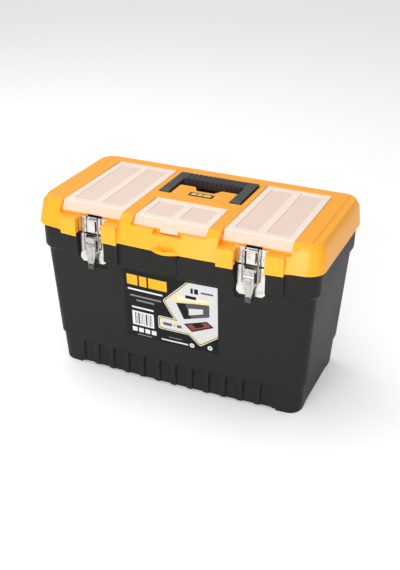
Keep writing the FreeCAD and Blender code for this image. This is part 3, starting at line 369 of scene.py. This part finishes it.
def printed_film():
    """The label's print: a grey field outlined on black, plain bars for text, two small pictures."""
    tree, given, result = new_group("printed_film", [("Black", (0.006, 0.006, 0.006, 1.0))],
                                    [("Colour", "NodeSocketColor")])
    sums = Sums(tree)
    x, _, z = sums.axes()
    across, up = GRID_WIDTH / LABEL_WIDTH, GRID_HEIGHT / LABEL_HEIGHT
    u = sums.maths("MULTIPLY_ADD", x, across, -LABEL_LEFT * across)
    v = sums.maths("MULTIPLY_ADD", z, up, -LABEL_FOOT * up)
    edges = [sums.slope(u, v, *edge) for edge in FIELD_EDGES]
    field = edges[0]
    for edge in edges[1:]:
        field = sums.maths("SMOOTH_MIN", field, edge, 5.0)
    tag = sums.maths("SMOOTH_MIN", sums.maths("SUBTRACT", u, 58.5), sums.maths("SUBTRACT", v, 25.2), 6.0)
    tag = sums.maths("SMOOTH_MIN", tag, sums.maths("SUBTRACT", 49.2, v), 6.0)
    tag = sums.both(tag, sums.maths("SUBTRACT", 121.0, u))
    field = sums.maths("MAXIMUM", field, tag)
    colour = given.outputs["Black"]
    for shade, left, right, low, high in LEFT_PRINT:
        colour = sums.painted(colour, sums.inside(sums.patch(u, v, left, right, low, high)), shade)
    for left, right in BARCODE:
        colour = sums.painted(colour, sums.inside(sums.patch(u, v, left, right, 24, 45)), INK)
    for edge, shade in ((0.0, PAPER), (1.3, INK), (2.5, PALE_YELLOW), (4.3, PALE_GREY)):
        colour = sums.painted(colour, sums.inside(field, edge), shade)
    for shade, left, right, low, high in RIGHT_PRINT:
        colour = sums.painted(colour, sums.inside(sums.patch(u, v, left, right, low, high)), shade)
    for shade, sides in PICTURES:
        shape = sums.both(*[sums.slope(u, v, *side) for side in sides])
        colour = sums.painted(colour, sums.inside(shape), shade)
    for middle, height in ((116, 6.4), (146.5, 8.6)):
        colour = sums.painted(colour, sums.inside(sums.blob(u, v, middle, height, 4.0)), PAPER)
        colour = sums.painted(colour, sums.inside(sums.blob(u, v, middle, height, 1.8)), DIM_GREY)
    wire(tree, colour, result.inputs["Colour"])
    return tree


# The slots over the catches: distance from the middle, depth and height.
SLOT_SPAN = (LATCH_OFFSET - 12.5, LATCH_OFFSET + 12.5)
SLOT_DEPTHS = (-121, -107.5)
SLOT_HEIGHTS = (282.5, 292.5)
WELL_HALF_WIDTH = 50
WELL_DEPTHS = (57, 93)
WELL_HEIGHTS = (265, 299)
DEEP_SHADE = (0.03, 0.012, 0.004)


def badge_print():
    """A pale generic mark on the dark badge: three plain bars."""
    tree, given, result = new_group("badge_print", [("Black", (0.006, 0.006, 0.006, 1.0))],
                                    [("Colour", "NodeSocketColor")])
    sums = Sums(tree)
    x, y, _ = sums.axes()
    colour = given.outputs["Black"]
    for left, right in ((-17, -8), (-6, 2), (4, 17)):
        colour = sums.painted(colour, sums.inside(sums.patch(x, y, left, right, -3.5, 4.5)), PALE_YELLOW)
    wire(tree, colour, result.inputs["Colour"])
    return tree


def deep_places():
    """The lid's yellow, near black where light doesn't reach: in the catch slots and under the grip."""
    tree, given, result = new_group("deep_places", [("Yellow", (0.98, 0.40, 0.010, 1.0))],
                                    [("Colour", "NodeSocketColor")])
    sums = Sums(tree)
    x, y, z = sums.axes()
    from_middle = sums.maths("ABSOLUTE", x)
    colour = given.outputs["Yellow"]
    slot = sums.both(sums.patch(from_middle, z, *SLOT_SPAN, *SLOT_HEIGHTS),
                     sums.patch(y, z, *SLOT_DEPTHS, *SLOT_HEIGHTS))
    well = sums.both(sums.patch(from_middle, z, -1, WELL_HALF_WIDTH, *WELL_HEIGHTS),
                     sums.patch(y, z, *WELL_DEPTHS, *WELL_HEIGHTS))
    for space in (slot, well):
        colour = sums.painted(colour, sums.inside(space, -0.1), DEEP_SHADE)
    wire(tree, colour, result.inputs["Colour"])
    return tree


def frosted_panes():
    """The organiser lids' plastic: milky frames, warmer sloping lips, greyer sunk panes."""
    tree, given, result = new_group(
        "frosted_panes",
        [("Frame", (1.0, 0.83, 0.74, 1.0)), ("Pane", (0.90, 0.70, 0.60, 1.0)),
         ("Lip", (0.80, 0.63, 0.50, 1.0))],
        [("Colour", "NodeSocketColor")])
    sums = Sums(tree)
    _, y, z = sums.axes()
    colour = given.outputs["Frame"]
    low = sums.maths("LESS_THAN", z, LID_TOP - 0.7)
    front = sums.maths("LESS_THAN", y, -100.5)
    for mask, shade in ((low, "Pane"), (sums.both(low, front), "Lip")):
        node = tree.nodes.new("ShaderNodeMix")
        node.data_type = "RGBA"
        wire(tree, mask, node.inputs["Factor"])
        wire(tree, colour, node.inputs["A"])
        wire(tree, given.outputs[shade], node.inputs["B"])
        colour = node.outputs["Result"]
    wire(tree, colour, result.inputs["Colour"])
    return tree


SKIN = moulded_skin()
SHEET = worked_sheet()
PRINT = printed_film()
PANES = frosted_panes()
BADGE_MARK = badge_print()
DEEP = deep_places()


def material(name, **shader_values):
    """A material with its Principled shader's own sockets set."""
    paint = bpy.data.materials.new(name)
    paint.use_nodes = True
    shader = paint.node_tree.nodes["Principled BSDF"]
    for socket, value in shader_values.items():
        shader.inputs[socket.replace("_", " ")].default_value = value
    return paint, paint.node_tree, shader


def with_effect(paint, effect, values):
    """Place a shared effect in a material and feed the shader from it."""
    tree = paint.node_tree
    shader = tree.nodes["Principled BSDF"]
    node = tree.nodes.new("ShaderNodeGroup")
    node.node_tree = effect
    for socket, value in values.items():
        node.inputs[socket].default_value = value
    wire(tree, node.outputs["Colour"], shader.inputs["Base Color"])
    wire(tree, node.outputs["Roughness"], shader.inputs["Roughness"])
    wire(tree, node.outputs["Normal"], shader.inputs["Normal"])
    return node


def moulded(name, colour, drift, gloss, grain, **shader_values):
    """A moulded plastic: gloss is (low, high) and grain is (scale, depth)."""
    paint, tree, shader = material(name, **shader_values)
    with_effect(paint, SKIN, {"Colour": colour, "Shade Drift": drift, "Gloss Low": gloss[0],
                              "Gloss High": gloss[1], "Grain Scale": grain[0], "Grain Depth": grain[1]})
    return paint


def plated(name, colour, stain, gloss, scratches, grooves=0.0):
    """A plated metal: gloss is (low, high); the last value sets how dark the painted shade beside the bail
    wires is.
    """
    paint, tree, shader = material(name, Metallic=1.0)
    with_effect(paint, SHEET, {"Colour": colour, "Stain": stain, "Gloss Low": gloss[0],
                               "Gloss High": gloss[1], "Scratch Depth": scratches, "Painted Gap Shade": grooves})
    return paint


# ---------------------------------------------------------------- materials
YELLOW = moulded("yellow_moulding", (0.98, 0.40, 0.010, 1.0), 0.06, (0.32, 0.42), (1500.0, 0.06),
                 Specular_IOR_Level=0.45)
CHARCOAL = moulded("charcoal_moulding", (0.020, 0.020, 0.0192, 1.0), 0.2, (0.40, 0.52), (1900.0, 0.22),
                   Specular_IOR_Level=0.10)
TRAY_PLASTIC = moulded("tray_moulding", (0.05, 0.05, 0.048, 1.0), 0.2, (0.42, 0.55), (1900.0, 0.22))
HANDLE_PLASTIC = moulded("handle_moulding", (0.030, 0.034, 0.038, 1.0), 0.15, (0.34, 0.46), (2200.0, 0.18))
BADGE_PLASTIC = moulded("badge_plate", (0.02, 0.02, 0.02, 1.0), 0.1, (0.25, 0.35), (1500.0, 0.05))
LABEL_FILM = moulded("label_film", (0.006, 0.006, 0.006, 1.0), 0.1, (0.4, 0.5), (800.0, 0.03),
                     Specular_IOR_Level=0.15)
CLEAR = moulded("clear_organiser_lid", (0.96, 0.80, 0.74, 1.0), 0.0, (0.25, 0.34), (300.0, 0.02),
                Transmission_Weight=0.1, IOR=1.35)
SNAP_TAB = moulded("frosted_snap_tab", (0.76, 0.56, 0.44, 1.0), 0.03, (0.3, 0.4), (900.0, 0.05))
GROMMET = moulded("lever_tip_plastic", (0.05, 0.05, 0.05, 1.0), 0.1, (0.3, 0.4), (1500.0, 0.1))


def printed_by(paint, effect):
    """Feed a colouring effect into the moulded skin of a material."""
    tree = paint.node_tree
    colouring = tree.nodes.new("ShaderNodeGroup")
    colouring.node_tree = effect
    skin = [node for node in tree.nodes if node.type == "GROUP" and node.node_tree == SKIN][0]
    wire(tree, colouring.outputs["Colour"], skin.inputs["Colour"])


printed_by(LABEL_FILM, PRINT)
printed_by(CLEAR, PANES)
printed_by(BADGE_PLASTIC, BADGE_MARK)
printed_by(YELLOW, DEEP)
# The nickel plates carry the painted shade beside the bail wires.
NICKEL = plated("nickel_plate", (0.68, 0.655, 0.62, 1.0), (0.36, 0.33, 0.29, 1.0), (0.16, 0.3), 0.06,
                grooves=0.93)
LEVER_NICKEL = plated("lever_nickel", (0.50, 0.485, 0.46, 1.0), (0.22, 0.21, 0.20, 1.0), (0.08, 0.18), 0.05)
WIRE = plated("bright_wire", (0.44, 0.42, 0.40, 1.0), (0.25, 0.24, 0.22, 1.0), (0.08, 0.18), 0.03)

PAINT_OF_SLOT = {
    "tub_plastic": CHARCOAL, "lid_plastic": YELLOW, "tray_plastic": TRAY_PLASTIC,
    "organiser_plastic": CLEAR, "handle_plastic": HANDLE_PLASTIC, "nickel": NICKEL, "steel": WIRE,
    "label_film": LABEL_FILM, "badge": BADGE_PLASTIC,
}

# ---------------------------------------------------------------- pieces
def extra_piece(piece, body, paint):
    """Give an added piece its material and let it move with a body."""
    piece.data.materials.clear()
    piece.data.materials.append(paint)
    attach(piece, body)


def tilted(piece, degrees, centre):
    """Turn a piece about the X direction through a point."""
    in_edit_mode(piece, lambda: bpy.ops.transform.rotate(
        value=math.radians(degrees), orient_axis="X", orient_type="GLOBAL",
        center_override=[MM * value for value in centre]))


SHEET_THICK = 3.0
PANE_DEPTH = 1.0
FRAME_WIDTH = 11
RIB_HALF_WIDTH = 6.5
# Each organiser lid: left, right, rear, front bend, and the lip's free end (y, z).
ORGANISER_LIDS = {
    "organiser_lid_left": (-194.0, -84.0, 89.0, -103.5, (-113.5, 291.6)),
    "organiser_lid_right": (84.0, 194.0, 89.0, -103.5, (-113.5, 291.6)),
    "organiser_lid_centre": (-62.0, 62.0, -34.0, -111.0, (-119.7, 293.2)),
}


def organiser_lid(node):
    """A clear lid: a flat sheet with two sunk panes, a sloping front lip and a snap tab."""
    left, right, rear, bend, (lip_y, lip_z) = ORGANISER_LIDS[node]
    piece = brick("visual_" + node, (left, right), (bend, rear), (LID_TOP - SHEET_THICK, LID_TOP))
    run = math.hypot(bend - lip_y, LID_TOP - lip_z)
    slant = math.degrees(math.atan2(bend - lip_y, LID_TOP - lip_z))
    lip = brick("lip", (left, right), (bend, bend + SHEET_THICK), (LID_TOP - run, LID_TOP))
    tilted(lip, slant, (0, bend, LID_TOP))
    combine(piece, lip, "UNION")
    middle = (left + right) / 2
    spans = ((left + FRAME_WIDTH, middle - RIB_HALF_WIDTH), (middle + RIB_HALF_WIDTH, right - FRAME_WIDTH))
    for span in spans:
        pane = brick("pane", span, (bend + 12, rear - FRAME_WIDTH), (LID_TOP - PANE_DEPTH, LID_TOP + 2))
        combine(piece, pane, "DIFFERENCE")
    combine(piece, round_bar("stub_pins", left - 3, right + 3, rear - 2, LID_TOP - 2, 1.4), "UNION")
    round_edges(piece, 0.6 * MM, clamp=True)
    smooth(piece, 40)
    finish_piece(piece, node, CLEAR)
    low, half_width = (LID_TOP - 21, 15) if node.endswith("centre") else (LID_TOP - run + 0.6, 9.5)
    tab = brick(node + "_snap_tab", (middle - half_width, middle + half_width), (bend - 0.5, bend + 1),
                (low, LID_TOP - 8))
    tilted(tab, slant, (0, bend, LID_TOP))
    round_edges(tab, 0.4 * MM)
    smooth(tab)
    extra_piece(tab, BODY_OF[node], SNAP_TAB)


def round_bar(name, low, high, y, z, radius, sides=24):
    bpy.ops.object.select_all(action="DESELECT")
    bpy.ops.mesh.primitive_cylinder_add(vertices=sides, radius=radius * MM, depth=(high - low) * MM,
                                        location=(MM * (low + high) / 2, y * MM, z * MM),
                                        rotation=(0, math.radians(90), 0))
    piece = bpy.context.object
    piece.name = name
    bpy.ops.object.transform_apply(location=True, rotation=True, scale=True)
    return piece


def lid_details(piece):
    """Slots above the catches."""
    near, far = SLOT_SPAN
    for span in ((-far, -near), (near, far)):
        combine(piece, brick("slot", span, SLOT_DEPTHS, SLOT_HEIGHTS), "DIFFERENCE")


GRIP_GROOVES = 12
GRIP_PITCH = 8.6


def handle_details(piece):
    """Cross grooves along the grip, over its top and down its front."""
    for index in range(GRIP_GROOVES):
        x = (index - (GRIP_GROOVES - 1) / 2) * GRIP_PITCH
        span = (x - 0.9, x + 0.9)
        combine(piece, brick("groove", span, (50, 90), (307.9, 312)), "DIFFERENCE")
        combine(piece, brick("groove", span, (50, 58), (285, 312)), "DIFFERENCE")


def catch_skirt(piece):
    """The catch plate's lower edge, brought down to the rim."""
    middle = LATCH_OFFSET if piece.name.endswith("right") else -LATCH_OFFSET
    skirt = brick("skirt", (middle - 21.5, middle + 21.5), (-120.7, -119.5), (263.0, 267.0))
    combine(piece, skirt, "UNION")


EDGE_ROUNDING = {
    "tub_shell": 0.9, "lid_shell": 1.0, "tray": 0.6, "handle": 0.35, "catch_plate_left": 0.25,
    "catch_plate_right": 0.25, "latch_base_plate_left": 0.25, "latch_base_plate_right": 0.25,
    "latch_lever_left": 0.4, "latch_lever_right": 0.4, "badge_plate": 0.3,
}
DETAILS = {"lid_shell": lid_details, "handle": handle_details, "catch_plate_left": catch_skirt,
           "catch_plate_right": catch_skirt}
for node in CAD:
    if node in ORGANISER_LIDS:
        organiser_lid(node)
    elif node in EDGE_ROUNDING:
        piece = copied(node, "visual_" + node, DETAILS.get(node))
        round_edges(piece, EDGE_ROUNDING[node] * MM)
        smooth(piece)
        finish_piece(piece, node, LEVER_NICKEL if "lever" in node else PAINT_OF_SLOT[SLOT_OF[node]])
    else:
        CAD[node].data.materials.clear()
        CAD[node].data.materials.append(PAINT_OF_SLOT[SLOT_OF[node]])


def latch_details(side, centre):
    """The lever's cross bead, its raised middle and its dark tip."""
    body = "lever_" + side
    bead = round_bar("lever_bead_" + side, centre - 8.6, centre + 8.6, -130.0, 247.0, 2.4)
    round_edges(bead, 0.5 * MM)
    smooth(bead)
    extra_piece(bead, body, LEVER_NICKEL)
    ridge = brick("lever_ridge_" + side, (centre - 3, centre + 3), (-131.2, -129.5), (213.5, 243.5))
    round_edges(ridge, 0.8 * MM, 3)
    smooth(ridge)
    extra_piece(ridge, body, LEVER_NICKEL)
    tip = brick("lever_tip_" + side, (centre - 5.2, centre + 5.2), (-132.2, -127.2), (203.6, 212.5))
    round_edges(tip, 1.6 * MM, 3)
    smooth(tip)
    extra_piece(tip, body, GROMMET)


strip = brick("deck_strip", (204, 221), (-104, 104), (303, 307.2))
round_edges(strip, 1.15 * MM, 3)
smooth(strip, 50)
extra_piece(strip, "lid", YELLOW)
latch_details("left", -LATCH_OFFSET)
latch_details("right", LATCH_OFFSET)

# ---------------------------------------------------------------- floor, light and camera
bpy.ops.object.select_all(action="DESELECT")
bpy.ops.mesh.primitive_plane_add(size=30, location=(0, 0, 0))
floor = bpy.context.object
floor.name = "studio_floor"
floor_paint, *_ = material("pale_floor", Base_Color=(0.95, 0.95, 0.95, 1.0), Roughness=0.8,
                           Emission_Color=(1.0, 1.0, 1.0, 1.0), Emission_Strength=0.16)
floor.data.materials.append(floor_paint)


def studio_world():
    """White to the camera and softly graded for the rest, so that metal has something to reflect."""
    world = bpy.data.worlds.new("white_studio")
    world.use_nodes = True
    tree = world.node_tree
    background = tree.nodes["Background"]
    place = tree.nodes.new("ShaderNodeTexCoord")
    split = tree.nodes.new("ShaderNodeSeparateXYZ")
    wire(tree, place.outputs["Generated"], split.inputs["Vector"])
    ramp = tree.nodes.new("ShaderNodeValToRGB")
    stops = ramp.color_ramp.elements
    stops[0].position, stops[0].color = 0.46, (0.05, 0.05, 0.05, 1.0)
    stops[1].position, stops[1].color = 0.80, (0.62, 0.62, 0.62, 1.0)
    for position, shade in ((0.52, 0.10), (0.60, 0.55)):
        stop = stops.new(position)
        stop.color = (shade, shade, shade, 1.0)
    height = tree.nodes.new("ShaderNodeMapRange")
    height.inputs["From Min"].default_value = -1.0
    wire(tree, split.outputs["Z"], height.inputs["Value"])
    wire(tree, height.outputs["Result"], ramp.inputs["Fac"])
    path = tree.nodes.new("ShaderNodeLightPath")
    seen = tree.nodes.new("ShaderNodeMix")
    seen.data_type = "RGBA"
    seen.inputs["B"].default_value = (1.0, 1.0, 1.0, 1.0)
    wire(tree, path.outputs["Is Camera Ray"], seen.inputs["Factor"])
    wire(tree, ramp.outputs["Color"], seen.inputs["A"])
    wire(tree, seen.outputs["Result"], background.inputs["Color"])
    background.inputs["Strength"].default_value = 1.0
    bpy.context.scene.world = world


studio_world()
bpy.context.scene.view_settings.view_transform = "Standard"


def softbox(name, place, target, size, power):
    """An area light that faces a point."""
    lamp = bpy.data.lights.new(name, "AREA")
    lamp.shape = "RECTANGLE"
    lamp.size, lamp.size_y = size
    lamp.energy = power
    holder = bpy.data.objects.new(name, lamp)
    bpy.context.scene.collection.objects.link(holder)
    holder.location = place
    holder.rotation_euler = (Vector(target) - Vector(place)).to_track_quat("-Z", "Y").to_euler()


softbox("front_softbox", (0.05, -2.2, 0.9), (0, 0, 0.2), (1.6, 1.2), 34)
softbox("top_softbox", (-0.8, 0.3, 2.0), (0, 0, 0.2), (1.8, 1.8), 17)
softbox("right_strip", (2.0, -1.0, 0.9), (0.2, 0, 0.2), (0.35, 1.4), 4)

CAMERA_PLACE = Vector((0.54671, -1.26917, 0.86347))
CAMERA_TARGET = Vector((0.00006, 0.0, 0.14251))
CAMERA_ROLL = math.radians(0.72)
forward = (CAMERA_TARGET - CAMERA_PLACE).normalized()
level_right = forward.cross(Vector((0, 0, 1))).normalized()
level_up = level_right.cross(forward)
right = level_right * math.cos(CAMERA_ROLL) + level_up * math.sin(CAMERA_ROLL)
up = level_up * math.cos(CAMERA_ROLL) - level_right * math.sin(CAMERA_ROLL)
lens = bpy.data.cameras.new("camera")
lens.sensor_fit = "HORIZONTAL"
lens.sensor_width = 36
lens.lens = 82.2
camera = bpy.data.objects.new("camera", lens)
bpy.context.scene.collection.objects.link(camera)
camera.matrix_world = Matrix.Translation(CAMERA_PLACE) @ Matrix((right, up, -forward)).transposed().to_4x4()
bpy.context.scene.camera = camera
